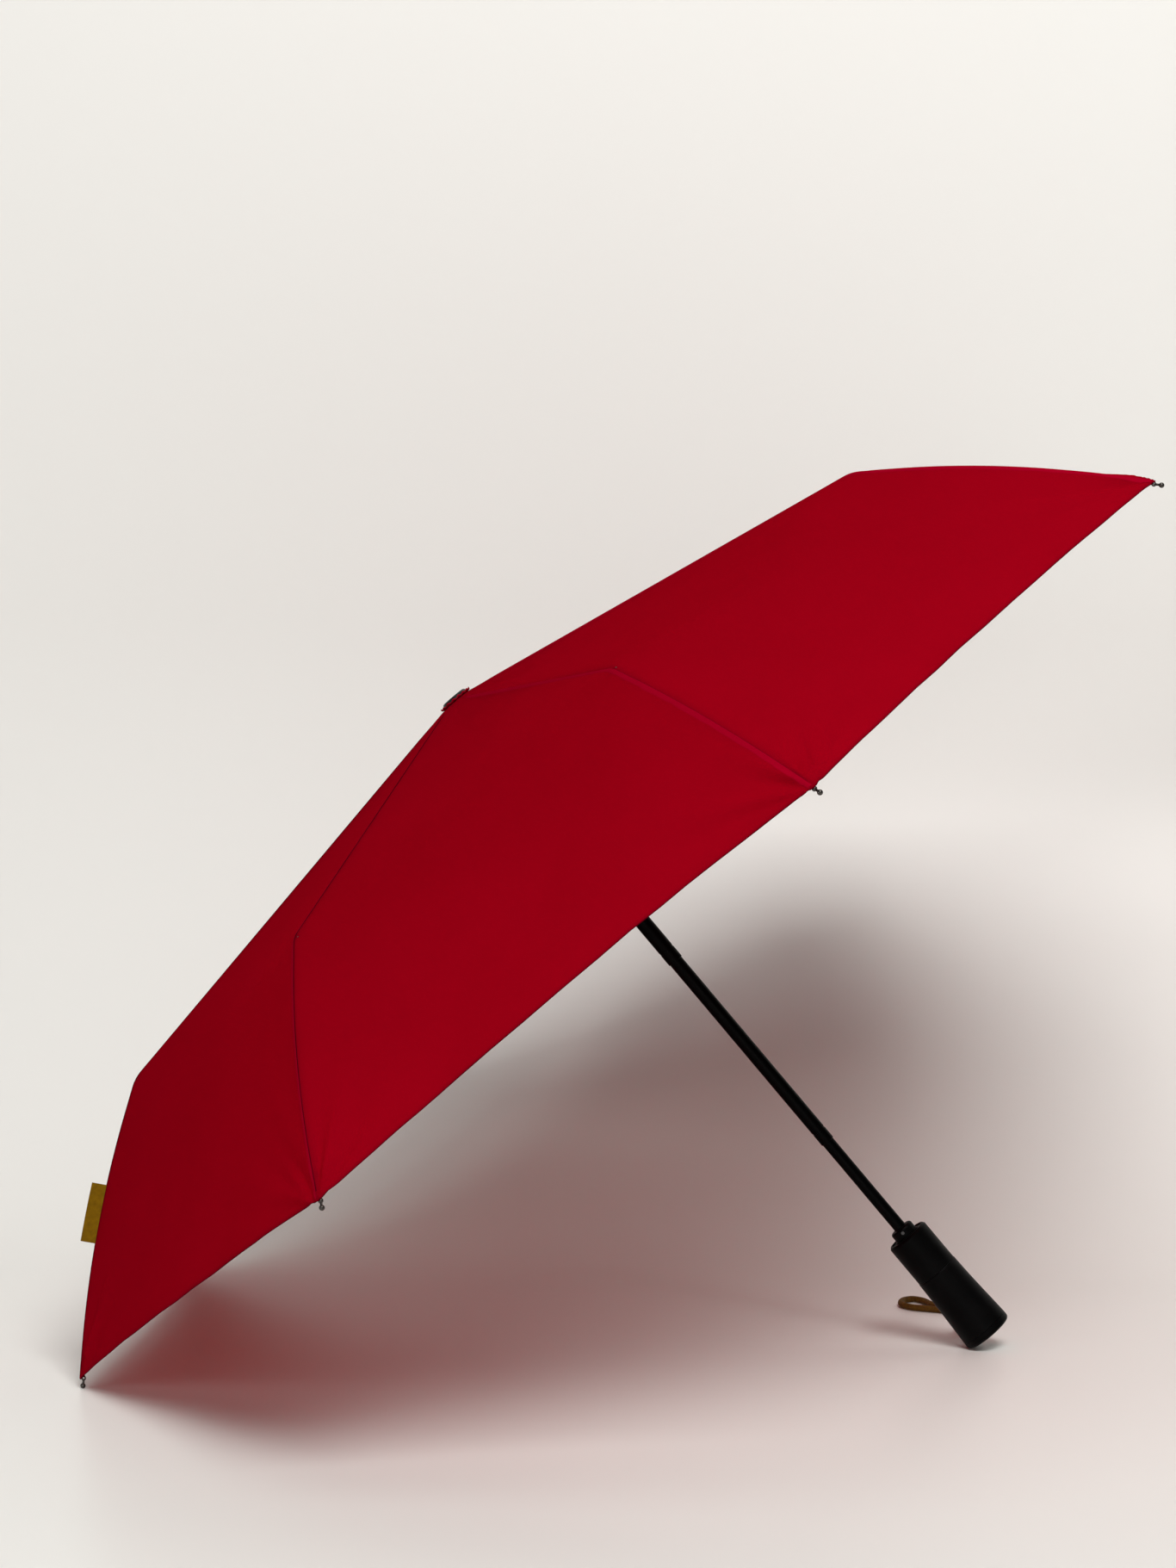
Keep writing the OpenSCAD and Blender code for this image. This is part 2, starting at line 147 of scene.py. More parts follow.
def grain(m, scale, strength, distance, detail=2.0, rough_span=None, rough_scale=60.0, shade=None, shade_scale=40.0):
    """Surface grain as bump, with roughness and shade that vary a little."""
    b = m.node_tree.nodes["Principled BSDF"]
    n = noise(m, scale, detail)
    bump = node(m, "ShaderNodeBump", Strength=strength, Distance=distance)
    link(m, n, "Fac", bump, "Height")
    link(m, bump, "Normal", b, "Normal")
    if rough_span:
        k = noise(m, rough_scale, 4.0, 0.6)
        r = node(m, "ShaderNodeMapRange")
        r.inputs["From Min"].default_value, r.inputs["From Max"].default_value = 0.3, 0.7
        r.inputs["To Min"].default_value, r.inputs["To Max"].default_value = rough_span
        link(m, k, "Fac", r, "Value")
        link(m, r, "Result", b, "Roughness")
    if shade:
        k = noise(m, shade_scale, 3.0, 0.55)
        r = node(m, "ShaderNodeValToRGB")
        r.color_ramp.elements[0].position, r.color_ramp.elements[1].position = 0.32, 0.68
        r.color_ramp.elements[0].color, r.color_ramp.elements[1].color = (*shade[0], 1), (*shade[1], 1)
        link(m, k, "Fac", r, "Fac")
        link(m, r, "Color", b, "Base Color")
    return m


def cloth_material(name, base, through, share, spread=0.06):
    """Thin closely woven cloth: a soft satin face that lets some light through."""
    m = principled(name, base, 0.6, spec=0.0, sheen=0.04, sheen_rough=0.5, sheen_tint=(1.0, 0.01, 0.05))
    t = m.node_tree
    b = t.nodes["Principled BSDF"]
    out = t.nodes["Material Output"]
    tr = t.nodes.new("ShaderNodeBsdfTranslucent")
    tr.inputs["Color"].default_value = (*through, 1)
    mix = t.nodes.new("ShaderNodeMixShader")
    mix.inputs["Fac"].default_value = share
    t.links.new(b.outputs["BSDF"], mix.inputs[1])
    t.links.new(tr.outputs["BSDF"], mix.inputs[2])
    t.links.new(mix.outputs["Shader"], out.inputs["Surface"])
    # shade that drifts slowly over the cloth
    k = noise(m, 11.0, 4.0, 0.6)
    ramp = node(m, "ShaderNodeValToRGB")
    ramp.color_ramp.elements[0].position, ramp.color_ramp.elements[1].position = 0.3, 0.7
    ramp.color_ramp.elements[0].color = (*[c * (1 - spread) for c in base], 1)
    ramp.color_ramp.elements[1].color = (*[c * (1 + spread) for c in base], 1)
    link(m, k, "Fac", ramp, "Fac")
    # painted shade and light: the colour is a little darker from the crown to the middle and lighter at the hem, for
    # how the light falls on the cloth
    co = node(m, "ShaderNodeTexCoord")
    far = node(m, "ShaderNodeVectorMath")
    far.operation = "DISTANCE"
    far.inputs[1].default_value = tuple(world((0.0, 0.0, 0.0)))
    part = node(m, "ShaderNodeMath")
    part.operation = "MULTIPLY"
    part.inputs[1].default_value = 1.9
    painted_shade_ramp = node(m, "ShaderNodeValToRGB")
    painted_shade_ramp.color_ramp.elements[0].position, painted_shade_ramp.color_ramp.elements[1].position = 0.1, 0.95
    painted_shade_ramp.color_ramp.elements[0].color = (0.9, 0.9, 0.9, 1)
    painted_shade_ramp.color_ramp.elements[1].color = (1.14, 1.14, 1.14, 1)
    painted_shade_ramp.color_ramp.elements.new(0.58).color = (0.87, 0.87, 0.87, 1)
    both = node(m, "ShaderNodeMixRGB", Fac=1.0)
    both.blend_type = "MULTIPLY"
    link(m, co, "Object", far, 0)
    link(m, far, "Value", part, 0)
    link(m, part, "Value", painted_shade_ramp, "Fac")
    link(m, ramp, "Color", both, "Color1")
    link(m, painted_shade_ramp, "Color", both, "Color2")
    link(m, both, "Color", b, "Base Color")
    # plain weave of fine threads, half a millimetre a pair
    waves = []
    for turn in ((0.0, 0.6, 0.0), (0.0, 0.6, math.pi / 2)):
        mp = node(m, "ShaderNodeMapping", Rotation=turn)
        wv = node(m, "ShaderNodeTexWave", Scale=640.0, Distortion=0.6, Detail=1.0)
        link(m, co, "Object", mp, "Vector")
        link(m, mp, "Vector", wv, "Vector")
        waves.append(wv)
    add = node(m, "ShaderNodeMath")
    add.operation = "ADD"
    link(m, waves[0], "Fac", add, 0)
    link(m, waves[1], "Fac", add, 1)
    bump = node(m, "ShaderNodeBump", Strength=0.10, Distance=0.00008)
    link(m, add, "Value", bump, "Height")
    link(m, bump, "Normal", b, "Normal")
    return m


M_CLOTH = cloth_material("canopy_cloth", (0.178, 0.0003, 0.0062), (0.94, 0.0006, 0.009), 0.225)
# a lighter copy of the canopy cloth that lets less light through: painted highlight on the raised seam bands, also
# used for the rosette
M_SEAM_HIGHLIGHT = cloth_material("seam_cloth_painted_highlight", (0.268, 0.0004, 0.011), (0.8, 0.0005, 0.011), 0.06)
# a darker copy of the canopy cloth: the seams' line of thread, and painted shade on the hem's folded edge and in the
# groove beside each seam band
M_THREAD_AND_SHADE = cloth_material("stitch_thread_and_shade", (0.075, 0.0002, 0.004), (0.3, 0.0003, 0.005), 0.05, 0.3)
M_HANDLE = grain(principled("handle_plastic", (0.0014, 0.0014, 0.0015), 0.42, spec=0.045), 1400, 0.14, 0.0003, rough_span=(0.36, 0.5),
                 shade=((0.0011, 0.0011, 0.0012), (0.002, 0.002, 0.0021)))
M_BUTTON = grain(principled("button_plastic", (0.004, 0.004, 0.0042), 0.3, spec=0.25), 900, 0.05, 0.0002, rough_span=(0.25, 0.36))
M_FITTING = grain(principled("fitting_plastic", (0.004, 0.004, 0.0042), 0.36, spec=0.3), 1100, 0.08, 0.0002, rough_span=(0.3, 0.45))
M_TUBE = grain(principled("tube_lacquer", (0.0012, 0.0012, 0.0013), 0.34, spec=0.04, coat=0.0, coat_rough=0.15), 500, 0.02, 0.0002,
               rough_span=(0.28, 0.42), rough_scale=90)
M_RIB = grain(principled("rib_coating", (0.006, 0.006, 0.0063), 0.36, spec=0.35), 800, 0.05, 0.0002, rough_span=(0.3, 0.46))
M_TIP = grain(principled("tip_metal", (0.075, 0.068, 0.062), 0.26, metal=1.0), 1500, 0.05, 0.0001, rough_span=(0.2, 0.34), rough_scale=400)
M_STEEL = grain(principled("bright_steel", (0.5, 0.5, 0.51), 0.24, metal=1.0), 1500, 0.05, 0.0001, rough_span=(0.18, 0.32), rough_scale=400)
M_SCREW = grain(principled("dark_steel", (0.1, 0.1, 0.102), 0.4, metal=1.0), 1500, 0.05, 0.0001, rough_span=(0.34, 0.48), rough_scale=400)
M_LOOP = grain(principled("loop_cord", (0.085, 0.035, 0.003), 0.75, spec=0.15, sheen=0.1, sheen_tint=(0.9, 0.5, 0.1)), 2400, 0.6, 0.0004,
               shade=((0.06, 0.022, 0.002), (0.115, 0.055, 0.004)), shade_scale=500)
M_LABEL = grain(principled("label_tape", (0.15, 0.078, 0.001), 0.8, spec=0.06, sheen=0.05, sheen_tint=(0.9, 0.6, 0.05)), 3200, 0.45, 0.0002,
                shade=((0.125, 0.064, 0.0008), (0.175, 0.092, 0.0014)), shade_scale=300)


def paint(obj, m):
    obj.data.materials.clear()
    obj.data.materials.append(m)


for name, obj in nodes.items():
    if name in ("handle_housing", "handle_grip", "handle_end_cap", "handle_collar", "strap_anchor"):
        paint(obj, M_HANDLE)
    elif name == "push_button":
        paint(obj, M_BUTTON)
    elif name in ("runner", "crown_hub", "crown_cap"):
        paint(obj, M_FITTING)
    elif name.endswith("_tube"):
        paint(obj, M_TUBE)
    elif name.startswith("rib_tip"):
        paint(obj, M_TIP)
    elif name == "collar_screw":
        paint(obj, M_SCREW)
    elif name in ("main_spring", "crown_wire", "runner_wire"):
        paint(obj, M_STEEL)
    elif name in ("canopy", "rosette"):
        paint(obj, M_CLOTH)
    elif name == "wrist_loop":
        paint(obj, M_LOOP)
    elif name == "label_tag":
        paint(obj, M_LABEL)
    else:
        paint(obj, M_RIB)


# -------------------------------------------------------------------- cord
ROUTE = [(226.8, 18.3, 29), (226.8, 22, 29), (227.6, 27, 27.2), (228.6, 34, 22.4), (229.6, 42, 16.6),
         (230.4, 51, 10.8), (231, 60, 6.6), (231, 70, 3.8), (230, 80, 2.8), (228.6, 89, 2.5), (225, 97, 2.5),
         (218.6, 103, 2.5), (210, 107, 2.5), (200, 109.6, 2.5), (191, 113, 2.5), (185, 119.5, 2.5),
         (183.2, 128, 2.5), (185.4, 136.4, 2.5), (191.4, 140.6, 2.5), (198, 136.8, 2.5), (202.2, 129.6, 2.5),
         (205.6, 122, 2.5), (209.8, 115.4, 2.5), (215.6, 111, 2.5), (222, 107.2, 2.5), (228.4, 102.6, 2.5),
         (232.8, 95, 2.5), (235.2, 86.5, 2.6), (236.4, 77, 3.2), (236.8, 67.5, 4.9), (236.6, 58.5, 8),
         (235.8, 50, 12), (234.6, 42, 17), (233.6, 34, 22.4), (232.6, 27, 27.2), (231.6, 22, 29),
         (231.6, 18.3, 29)]


def through_points(p, per):
    """A smooth curve through the points (Catmull-Rom)."""
    p = np.asarray(p, float)
    q = np.vstack([2 * p[0] - p[1], p, 2 * p[-1] - p[-2]])
    out = []
    for k in range(1, len(q) - 2):
        for t in np.arange(per) / per:
            out.append(0.5 * (2 * q[k] + (q[k + 1] - q[k - 1]) * t + (2 * q[k - 1] - 5 * q[k] + 4 * q[k + 1] - q[k + 2]) * t * t
                              + (3 * q[k] - q[k - 1] - 3 * q[k + 1] + q[k + 2]) * t ** 3))
    out.append(q[-2])
    return np.array(out)


loop_path = through_points(ROUTE, 4) / 1000
loop_curve = bpy.data.curves.new("wrist_loop_cord", "CURVE")
loop_curve.dimensions = "3D"
spline = loop_curve.splines.new("POLY")
spline.points.add(len(loop_path) - 1)
spline.points.foreach_set("co", np.hstack([loop_path, np.ones((len(loop_path), 1))]).ravel())
loop_curve.bevel_depth = 0.0023
loop_curve.bevel_resolution = 4
loop_curve.use_fill_caps = True
loop = bpy.data.objects.new("wrist_loop_cord", loop_curve)
scene.collection.objects.link(loop)
loop.data.materials.append(M_LOOP)
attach(loop, "handle_body")
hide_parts("wrist_loop")

# ------------------------------------------------------- umbrella geometry
def phi(i):
    return math.radians(22.5 + 45 * (i - 1))


def rib_pt(i, x, t, z):
    """Rib-plane coordinates (outward, across, up) to umbrella millimetres."""
    a = phi(i)
    x, t, z = np.broadcast_arrays(np.asarray(x, float), t, z)
    return np.stack([x * math.cos(a) - t * math.sin(a), x * math.sin(a) + t * math.cos(a), z], -1)


def rib_dir(i, x, t, z):
    return wdir(rib_pt(i, x, t, z))


CLOTH_OFF = 2.4
A0, A1 = np.array([4.2, -3.5]), np.array([11.0, -3.5])
E_TOP, TIP = np.array([elbow_r, -elbow_drop]), np.array([tip_r, -tip_drop])
g1 = (E_TOP - A1) / np.linalg.norm(E_TOP - A1)
g3 = (TIP - E_TOP) / np.linalg.norm(TIP - E_TOP)
n1, n3 = np.array([-g1[1], g1[0]]), np.array([-g3[1], g3[0]])
E_P = E_TOP - CLOTH_OFF * (n1 + n3) / (1 + n1 @ n3)
HUB = np.array([8.5, -7.6])
inner_len = np.linalg.norm(E_P - HUB)
inner_dir = (E_P - HUB) / inner_len
Q_P = HUB + 172.0 * inner_dir
outer_len = np.linalg.norm(TIP - E_P)
END_GAP = 4.2
CLOTH_END = TIP - END_GAP * (TIP - E_P) / outer_len + CLOTH_OFF * n3
go = (CLOTH_END - E_TOP) / np.linalg.norm(CLOTH_END - E_TOP)
U1 = 6.8
UE = U1 + np.linalg.norm(E_TOP - A1)
UT = UE + np.linalg.norm(CLOTH_END - E_TOP)
UQ = U1 + (Q_P - A1) @ g1
HEM_IN = 5.0
# bow of the outer rib: straight ends and an arc between them
BEND = math.radians(5.8)
bend_x, bend_z = 24.5 * math.cos(BEND), 24.5 * math.sin(BEND)
bow_r = (outer_len / 2 - bend_x) / math.sin(BEND)
bow_c = bend_z - bow_r * math.cos(BEND)
bow_h = bow_c + bow_r


def bow(x):
    x = np.asarray(x, float)
    arc = bow_c + np.sqrt(np.maximum(bow_r ** 2 - (x - outer_len / 2) ** 2, 0))
    return np.where(x < bend_x, x * math.tan(BEND), np.where(x > outer_len - bend_x, (outer_len - x) * math.tan(BEND), arc))


def outer_line(u):
    """Cloth line over the outer rib; u may run a little past either end."""
    d = np.asarray(u, float) - UE
    return E_TOP + d[..., None] * go + bow(d / (UT - UE) * (outer_len - END_GAP))[..., None] * n3


def cubic(p0, p1, p2, p3, k):
    return (1 - k) ** 3 * p0 + 3 * k * (1 - k) ** 2 * p1 + 3 * k * k * (1 - k) * p2 + k ** 3 * p3


def profile(u, h):
    """Cloth line over a rib, with its elbow rounded over a length h each way."""
    u, h = np.broadcast_arrays(np.asarray(u, float), h)
    flat = A0 + np.clip(u, None, U1)[..., None] * np.array([1.0, 0.0])
    inner = A1 + (u - U1)[..., None] * g1
    p = np.where((u < U1)[..., None], flat, np.where((u < UE)[..., None], inner, outer_line(u)))
    k = np.clip((u - (UE - h)) / (2 * h), 0, 1)[..., None]
    hh = h[..., None]
    a, b = E_TOP - hh * g1, outer_line(UE + h)
    tb = (outer_line(UE + h + 0.2) - outer_line(UE + h - 0.2)) / 0.4
    bent = cubic(a, a + 0.667 * hh * g1, b - 0.667 * hh * tb, b, k)
    p = np.where((np.abs(u - UE) < h)[..., None], bent, p)
    h2 = 3.0
    k = np.clip((u - (U1 - h2)) / (2 * h2), 0, 1)[..., None]
    bent = (1 - k) ** 2 * (A1 - h2 * np.array([1.0, 0])) + 2 * k * (1 - k) * A1 + k * k * (A1 + h2 * g1)
    return np.where((np.abs(u - U1) < h2)[..., None], bent, p)


def half_chord(u):
    """Half the straight thread between two ribs, without the rounding of the elbow."""
    u = np.asarray(u, float)
    r = np.where(u < U1, 4.2 + u, np.where(u < UE, 11 + (u - U1) * g1[0], outer_line(u)[..., 0]))
    return r * S225


def hem_u(w):
    """Where the cloth ends, along the rib line, at share w from rib to mid-gore."""
    q = 1 - (1 - w) ** 2
    return UT - HEM_IN * q + 0.6 * np.clip(1 - w / 0.05, 0, 1) ** 2


def wrinkle(g, v, u):
    """Small folds of gore g, in mm outward; v runs from rib g to the next, u along the rib."""
    c = half_chord(u)
    win = np.sin(np.pi * np.clip(v, 0, 1))
    out = np.zeros(np.broadcast(u, v).shape)
    for side in (0, 1):
        vv = v if side == 0 else 1 - v
        s, p = 2 * vv * c, UT - u + 3
        rho, th = np.hypot(s, p), np.arctan2(s, np.maximum(p, 0.1))
        ph = 1.7 * g + 2.3 * side
        fan = np.sin(9.5 * th + ph) + 0.5 * np.sin(17 * th + 2 * ph)
        out += 1.1 * np.exp(-((rho / 95) ** 2)) * (rho / (rho + 18)) * fan * np.sin(np.clip(th, 0, 1.5) * 2.05)
        # folds pulled from the corner by the tip
        if side == 0:
            folds = [(22 + 4 * math.sin(2.1 * g), 2.7, 1), (44 + 6 * math.sin(1.3 * g), 1.3, -1)]
        else:
            folds = [(14 + 3 * math.sin(1.7 * g), 1.5, -1), (38 + 5 * math.cos(2.3 * g), 1.7, 1)]
        reach = 1.25 * (rho / (rho + 7)) * np.clip((rho - 4) / 16, 0, 1) * np.exp(-((rho / 42) ** 2)) * np.clip(th / 0.16, 0, 1) ** 2
        for deg, amp, sign in folds:
            x = rho * (th - math.radians(deg)) / (4.4 + 0.1 * rho)
            out += sign * amp * 2.1 * reach * x * np.exp(-x * x)
    y = (v - 0.5) * 2 * c
    edge = np.clip(UT - HEM_IN * (1 - (2 * v - 1) ** 2) - u, 0, None)
    out += 0.4 * np.exp(-edge / 30) * win * np.sin(2 * np.pi * y / 58 + 1.3 * g + 0.8 * np.sin(2 * np.pi * y / 97 + g))
    out += 0.55 * np.exp(-(((u - 62) / 42) ** 2)) * win * np.sin(2 * np.pi * 2.5 * v + 1.1 * g)
    out += 0.55 * win * np.exp(-(((u - UE - 75) / 62) ** 2)) * np.sin(2 * np.pi * (0.8 * y + 0.6 * u) / 58 + 1.9 * g)
    out += 1.7 * win * np.sin(2 * np.pi * (u / 260 + 0.17 * g)) * np.sin(2 * np.pi * (0.8 * v + 0.31 * g)) * np.clip(u / 120, 0, 1)
    near_elbow = np.exp(-(((u - UE + 8) / 40) ** 2))
    out += 0.8 * near_elbow * np.sin(np.pi * np.clip(2 * np.minimum(v, 1 - v), 0, 1)) * np.sin(14 * np.minimum(v, 1 - v) * 2 + g)
    return out


def surface(i, side, u, w):
    """Cloth point at rib-line length u and share w of the way from rib i to mid-gore; rib-plane coordinates."""
    u, w = np.broadcast_arrays(np.asarray(u, float), np.asarray(w, float))
    q = 1 - (1 - w) ** 2
    h = 6 + 92 * np.clip(q, 0, 1)
    p = profile(u, h)
    e = 0.4
    dp = (profile(u + e, h) - profile(u - e, h)) / (2 * e)
    r, z = p[..., 0], p[..., 1]
    x = r * (1 - w * S225 * S225)
    t = side * C225 * S225 * w * r
    gn = np.stack([-dp[..., 1], dp[..., 0] * C225], -1)
    gn /= np.linalg.norm(gn, axis=-1, keepdims=True)
    xi = np.clip((u - U1) / (UE - U1), 0, 1)
    xo = np.clip((u - UE) / (UT - UE), 0, 1)
    sag = 6.4 * np.sin(np.pi * xi) ** 1.2 * q + 4.4 * np.sin(np.pi * xo) * q
    g, v = (i, w / 2) if side > 0 else (i - 1 if i > 1 else 8, 1 - w / 2)
    d = -sag + wrinkle(g, v, u)
    x = x + d * gn[..., 0] * C225
    t = t + side * d * gn[..., 0] * S225
    z = z + d * gn[..., 1]
    return np.stack([x, t, z], -1)


def cloth_grid(i, side, u, w):
    """World points (m) and outward normals of a grid of cloth points."""
    u, w = np.broadcast_arrays(np.asarray(u, float), np.asarray(w, float))
    e, ew = 0.25, 0.25 / half_chord(u)
    p = surface(i, side, u, w)
    du = surface(i, side, u + e, w) - surface(i, side, u - e, w)
    dw = surface(i, side, u, w + ew) - surface(i, side, u, np.maximum(w - ew, 0))
    n = np.cross(du, dw)
    n[w < 1e-6, 1] = 0
    n /= np.linalg.norm(n, axis=-1, keepdims=True)
    n = n * np.where(n[..., 2:3] < 0, -1, 1)
    return world(rib_pt(i, p[..., 0], p[..., 1], p[..., 2])), rib_dir(i, n[..., 0], n[..., 1], n[..., 2])


def mesh_from_grid(name, p, n, material, turned=False, extra=()):
    """A mesh from a grid of points; rows that meet in a point become triangles."""
    rows, cols = p.shape[:2]
    key, index, pts, nrm = {}, np.zeros((rows, cols), int), [], []
    for r in range(rows):
        for c in range(cols):
            k = tuple(np.round(p[r, c] * 1e7).astype(np.int64))
            if k not in key:
                key[k] = len(pts)
                pts.append(p[r, c])
                nrm.append(n[r, c])
            index[r, c] = key[k]
    faces = []
    for r in range(rows - 1):
        for c in range(cols - 1):
            f = [index[r, c], index[r + 1, c], index[r + 1, c + 1], index[r, c + 1]]
            if turned:
                f.reverse()
            f = [f[k] for k in range(4) if f[k] != f[k - 1]]
            if len(f) >= 3:
                faces.append(f)
    me = bpy.data.meshes.new(name)
    me.from_pydata([tuple(x) for x in pts], [], faces)
    me.materials.append(material)
    me.polygons.foreach_set("use_smooth", [True] * len(me.polygons))
    me.update()
    me.normals_split_custom_set_from_vertices([tuple(x) for x in nrm])
    o = bpy.data.objects.new(name, me)
    scene.collection.objects.link(o)
    return o


def area_of(o):
    return sum(f.area for f in o.data.polygons)


# shares from rib to mid-gore: close together beside the seam
SHARES = np.array([0, 0.8, 1.8, 3, 4.3, 5.8, 7.4, 9.2, 11.2, 13.4, 15.8, 18.6, 21.8, 25.5, 30, 36, 43, 52, 63, 76, 91, 108, 128.0]) / 128.0


U_PETAL = 19.0
SHEETS = []


def declare_sheet(o, width, length):
    a = area_of(o)
    width, length = max(width, 0.0101), max(length, 0.0101)
    if a > width * length:
        k = math.sqrt(a / (width * length)) * 1.001
        width, length = width * k, length * k
    width, length = round(width, 4), round(length, 4)
    SHEETS.append((o.name, width, length, a))


def cut_u(w):
    """Line across the outer cloth at right angles to the rib, from the elbow to mid-gore."""
    k = 0.2938 * S225
    return UE + k * w * elbow_r / (1 - k * w * go[0])


def rows(i, side, lines):
    """Grid from lines of (u, w, lift) that each run from the rib to mid-gore."""
    ps, ns = [], []
    for u, w, lift in lines:
        p, n = cloth_grid(i, side, u, w)
        ps.append(p + n * np.broadcast_to(lift, w.shape)[..., None] / 1000)
        ns.append(n)
    return np.array(ps), np.array(ns)


for i in range(1, 9):
    # crown petal, which bends from the hub to the rib
    us = np.array([0.0, 2.0, 4.0, 6.0, 7.5, 9.0, 11.0, 13.5, 16.0, U_PETAL])
    ws = np.array([0, 0.06, 0.16, 0.32, 0.5, 0.7, 0.85, 1.0])
    (pa, na), (pb, nb) = [rows(i, side, [(u, ws, 0) for u in us]) for side in (-1, 1)]
    petal = mesh_from_grid(f"canopy_petal_{i}", np.concatenate([pa[:, ::-1], pb[:, 1:]], axis=1),
                           np.concatenate([na[:, ::-1], nb[:, 1:]], axis=1), M_CLOTH)
    tuple(world(rib_pt(i, 8.0, 0, -4.0)))
    tuple(world(rib_pt(i, 15.0, 0, -4.0)))
    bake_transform(petal)
    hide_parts("canopy")
    declare_sheet(petal, 0.016, 0.019)

    for side in (-1, 1):
        tag = "a" if side > 0 else "b"
        # from the crown to the first rib joint
        us = np.concatenate([[U_PETAL], np.linspace(27, UQ, 18)])
        o = mesh_from_grid(f"canopy_crown_{i}{tag}", *rows(i, side, [(u, SHARES, 0) for u in us]), M_CLOTH, side < 0)
        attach(o, f"crown_rib_{i}")
        ax = rib_dir(i, n1[0] * -0.117, side * 0.993, n1[1] * -0.117)
        tuple(world(rib_pt(i, A1[0], 0, A1[1])))
        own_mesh(o)
        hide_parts("canopy")
        declare_sheet(o, 0.066, 0.164)

        # from the first rib joint over the elbow, as far as the cut across the outer rib
        us = np.concatenate([np.linspace(UQ, UE - 50, 12), UE - np.array([40, 31, 23, 17, 12, 8, 5, 2.5])])
        w = SHARES
        lines = [(u, w, 0) for u in us]
        lines += [(UE + k * (cut_u(w) - UE), w, 0) for k in np.linspace(0, 1, 8)]
        o = mesh_from_grid(f"canopy_middle_{i}{tag}", *rows(i, side, lines), M_CLOTH, side < 0)
        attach(o, f"middle_rib_{i}")
        ax = rib_dir(i, n1[0] * -0.26, side, n1[1] * -0.26)
        tuple(world(rib_pt(i, E_TOP[0], 0, E_TOP[1])))
        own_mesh(o)
        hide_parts("canopy")
        declare_sheet(o, 0.125, 0.21)

        # the outer cloth down to the hem, with its folded edge and stitch line; the folded edge is darkened as painted
        # shade
        end, first = hem_u(w), cut_u(w)
        back_off = np.concatenate([np.arange(14.4, 61, 2.4), 62.4 + np.cumsum(2.8 * 1.17 ** np.arange(12))])
        back_off = back_off[back_off < 166]
        lines = [(first + (1 - (d - 12) / 172) * (end - first - 12), w, 0) for d in np.concatenate([[184, 181.5, 178, 173], back_off[::-1]])]
        lines += [(end - d, w, lift) for d, lift in [(12, 0.0), (7.6, 0.0), (7.0, -0.15), (6.4, 0.28), (3.5, 0.32), (1.2, 0.3), (0.3, 0.05),
                                                      (0.0, -0.5), (0.9, -0.95)]]
        o = mesh_from_grid(f"canopy_outer_{i}{tag}", *rows(i, side, lines), M_CLOTH, side < 0)
        o.data.materials.append(M_THREAD_AND_SHADE)
        per_row = len(SHARES) - 1
        # the last two rows of faces, the folded edge, take the darker colour as painted shade of the roll's underside
        o.data.polygons.foreach_set("material_index", [1 if k // per_row >= len(lines) - 3 else 0 for k in range(len(o.data.polygons))])
        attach(o, f"outer_rib_{i}")
        ax = rib_dir(i, n3[0] * -0.2647, side, n3[1] * -0.2647)
        tuple(world(rib_pt(i, E_TOP[0], 0, E_TOP[1])))
        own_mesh(o)
        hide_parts("canopy")
        declare_sheet(o, 0.183, 0.20)

    # felled seam along the rib, with its line of thread; the band is a lighter cloth as painted highlight, and the
    # line of thread is darker as painted shade of the groove beside it
    outer_us = np.concatenate([UE + np.array([0.0, 3, 6, 10]), np.linspace(UE + 18, UT - 14, 24), UT - np.array([8, 4, 1.5])])
    for part, body, us, long in [("crown", "crown_rib", np.linspace(U_PETAL + 1, UQ, 22), 0.165),
                                 ("middle", "middle_rib", np.concatenate([np.linspace(UQ, UE - 12, 20), UE - np.array([8, 5, 2.5, 0])]), 0.17),
                                 ("outer", "outer_rib", outer_us, 0.195)]:
        band_t, band_h = np.array([0.0, 0.5, 1.2, 2.0, 2.7, 3.2, 3.5]), np.array([0.34, 0.42, 0.46, 0.44, 0.34, 0.12, -0.12])
        line_t, line_h = np.array([0.0, 0.25, 0.55]), np.array([0.34, 0.16, -0.06])
        lines_b, lines_a = [], []
        for u in us:
            fade = min(1.0, (u - U_PETAL) / 14) * (0.75 + 0.25 * min(1.0, max(0.0, (u - UE + 20) / 40)))
            swell = 1 + 0.06 * math.sin(0.33 * u + i) + 0.05 * math.sin(0.71 * u + 2 * i)
            lines_b.append((u, band_t * fade * swell / half_chord(u), np.where(band_h > 0, band_h * fade, band_h)))
            lines_a.append((u, line_t * (1.0 if u > UE else 1.7) / half_chord(u), np.where(line_h > 0, line_h * fade, line_h)))
        (pb, nb), (pa, na) = rows(i, -1, lines_b), rows(i, 1, lines_a)
        seam = mesh_from_grid(f"canopy_seam_{part}_{i}", np.concatenate([pb[:, ::-1], pa[:, 1:]], axis=1),
                              np.concatenate([nb[:, ::-1], na[:, 1:]], axis=1), M_SEAM_HIGHLIGHT)
        seam.data.normals_split_custom_set([(0, 0, 0)] * len(seam.data.loops))
        seam.data.materials.append(M_THREAD_AND_SHADE)
        # the line of thread beside the band takes the darker colour, thread and painted shade of the groove there
        seam.data.polygons.foreach_set("material_index", [1 if k % 8 >= 6 else 0 for k in range(len(seam.data.polygons))])
        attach(seam, f"{body}_{i}")
        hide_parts("canopy")
        declare_sheet(seam, 0.0105, long)

